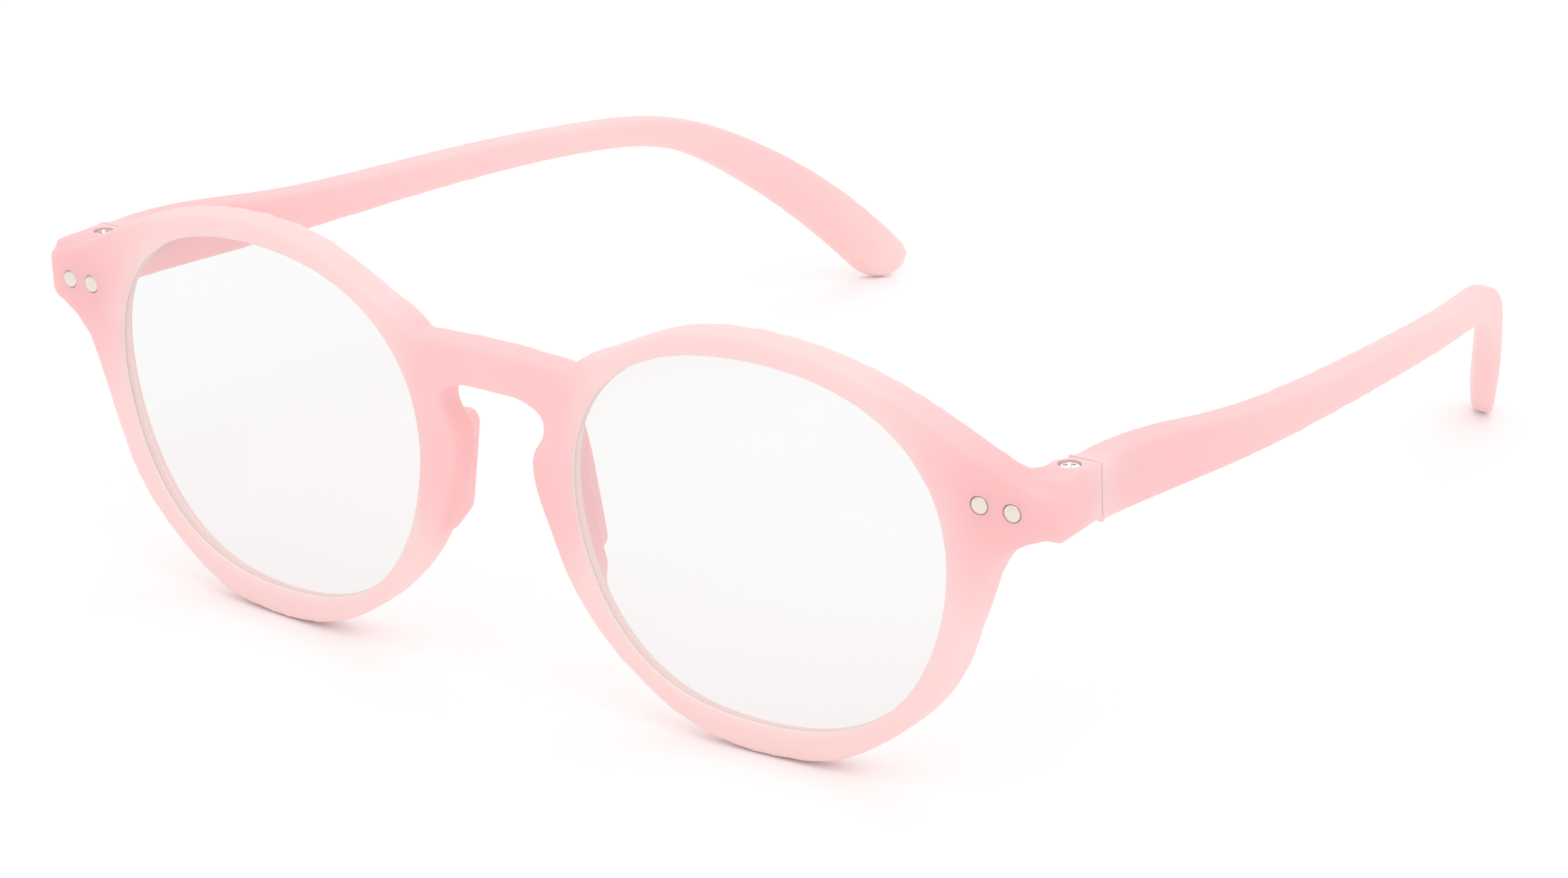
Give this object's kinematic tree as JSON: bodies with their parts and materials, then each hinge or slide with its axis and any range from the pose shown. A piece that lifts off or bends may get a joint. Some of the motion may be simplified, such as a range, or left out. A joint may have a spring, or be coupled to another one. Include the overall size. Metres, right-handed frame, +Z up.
{
  "type": "blue light glasses",
  "caption": "Round plastic screen glasses with a keyhole bridge, moulded nose pads, clear lenses and folding arms on sprung hinges.",
  "frame": {"origin": "on the floor under the middle of the glasses as they stand open on the rims and the arm tips", "axes": "+X to the wearer's left, +Y from the front back to the arm tips, +Z up"},
  "size_m": [0.1352, 0.1434, 0.0473],
  "materials": {
    "pink_plastic": "satin, slightly translucent moulded plastic",
    "lens": "clear, coated",
    "pin_metal": "satin champagne",
    "screw_metal": "polished",
    "hinge_metal": "fine brushed",
    "spring_steel": "drawn wire",
    "nylon": "matte"
  },
  "bodies": {
    "front": {"front_frame": "pink_plastic", "lens_left": "lens", "lens_right": "lens", "rivets_left": "pin_metal", "rivets_right": "pin_metal", "hinge_screw_left": "screw_metal", "hinge_screw_right": "screw_metal", "screw_insert_left": "hinge_metal", "screw_insert_right": "hinge_metal", "washers_left": "nylon", "washers_right": "nylon"},
    "eye_left": {"hinge_eye_left": "hinge_metal", "spring_stop_left": "hinge_metal", "spring_left": "spring_steel"},
    "arm_left": {"temple_left": "pink_plastic", "spring_housing_left": "hinge_metal"},
    "eye_right": {"hinge_eye_right": "hinge_metal", "spring_stop_right": "hinge_metal", "spring_right": "spring_steel"},
    "arm_right": {"temple_right": "pink_plastic", "spring_housing_right": "hinge_metal"}
  },
  "joints": [
    {"name": "fold_left", "type": "hinge", "parent": "front", "child": "eye_left", "pos_m": [0.0649, -0.05931, 0.03384], "axis": [0, -0.0655, 0.9979], "range_deg": [0, 84]},
    {"name": "spring_slide_left", "type": "slide", "parent": "eye_left", "child": "arm_left", "axis": [0, 0.9979, 0.0655], "range_m": [0, 0.0005], "stiffness_N_per_m": 6000, "springref_m": -0.0006, "deforming": ["spring_left"]},
    {"name": "fold_right", "type": "hinge", "parent": "front", "child": "eye_right", "pos_m": [-0.0649, -0.05931, 0.03384], "axis": [0, 0.0655, -0.9979], "range_deg": [0, 76]},
    {"name": "spring_slide_right", "type": "slide", "parent": "eye_right", "child": "arm_right", "axis": [0, 0.9979, 0.0655], "range_m": [0, 0.0005], "stiffness_N_per_m": 6000, "springref_m": -0.0006, "deforming": ["spring_right"]}
  ]
}
